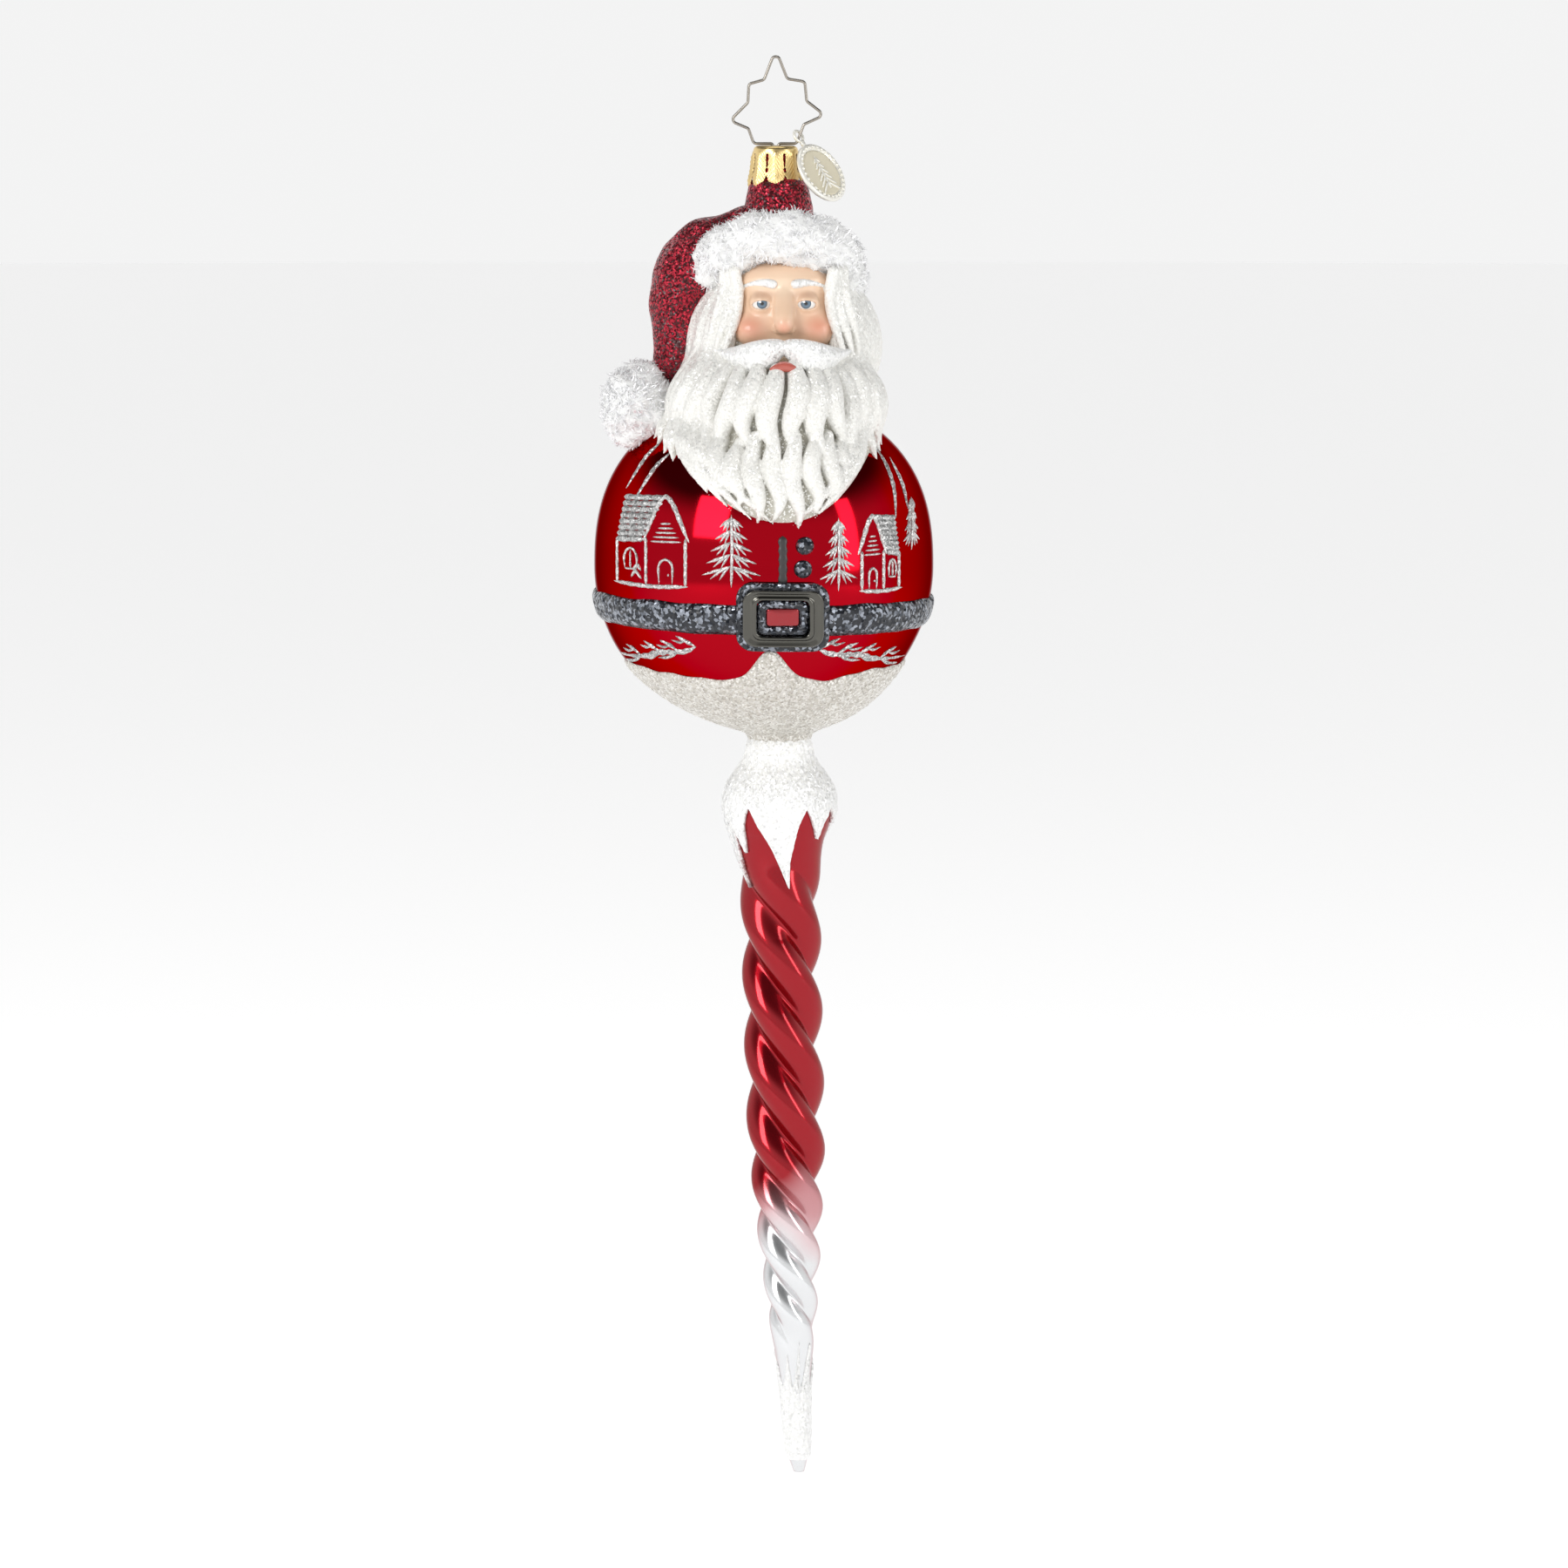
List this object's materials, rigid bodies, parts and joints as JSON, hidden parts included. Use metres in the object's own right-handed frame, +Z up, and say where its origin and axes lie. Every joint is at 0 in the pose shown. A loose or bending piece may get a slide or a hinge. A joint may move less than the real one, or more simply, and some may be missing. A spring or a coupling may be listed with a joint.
{
  "type": "icicle hanging ornament",
  "caption": "Hanging blown glass ornament: bearded figure in a floppy hat on a round red body, with a twisted icicle drop, crown cap, star wire hanger and tag.",
  "frame": {"origin": "inside of the star hanger's top point, where the hook carries the ornament", "axes": "+Z up along the hanging ornament, the figure faces -Y, +X to the figure's left hand"},
  "size_m": [0.0746, 0.0762, 0.3121],
  "materials": {
    "red_lacquered_glass": "gloss",
    "silvered_icicle_glass": "gloss",
    "burgundy_glitter": "glitter",
    "white_flock": "flocked",
    "white_glitter": "glitter",
    "gunmetal_glitter": "glitter",
    "pewter_paint": "satin",
    "silver_glitter": "glitter",
    "gold_sheet": "pressed",
    "steel_wire": "drawn",
    "cast_tag": "pearl"
  },
  "bodies": {
    "hanger": {"star_hanger": "steel_wire"},
    "cap": {"crown_cap": "gold_sheet"},
    "glass": {"figure_glass_shell": "red_lacquered_glass", "icicle_glass_shell": "silvered_icicle_glass", "hat_glitter_coat": "burgundy_glitter", "neck_glitter_collar": "burgundy_glitter", "hat_brim_flock": "white_flock", "pompom_flock": "white_flock", "moustache_glitter": "white_glitter", "belt_glitter_band": "gunmetal_glitter", "buckle_frame": "pewter_paint", "buckle_glitter_border": "silver_glitter", "buckle_glitter_inlay": "silver_glitter", "jacket_buttons": "silver_glitter", "placket_glitter_strip": "silver_glitter", "hem_snow_coat": "white_glitter", "house_glitter_lines": "white_glitter", "tree_glitter_lines": "white_glitter", "branch_glitter_lines": "silver_glitter", "sleeve_glitter_lines": "silver_glitter", "snow_cap_coat": "white_glitter", "tip_frost_coat": "white_glitter"},
    "charm": {"charm_disc": "cast_tag"}
  },
  "joints": [
    {"name": "cap_swing", "type": "hinge", "parent": "hanger", "child": "cap", "pos_m": [0, 0, -0.0184], "axis": [1, 0, 0], "range_deg": [-8, 8]},
    {"name": "cap_pull", "type": "slide", "parent": "cap", "child": "glass", "axis": [0, 0, -1], "range_m": [0, 0.022]},
    {"name": "charm_swing", "type": "hinge", "parent": "hanger", "child": "charm", "pos_m": [0.00495, 0, -0.0169], "axis": [-0.5685, -0.8092, -0.1484], "range_deg": [0, 60]}
  ]
}
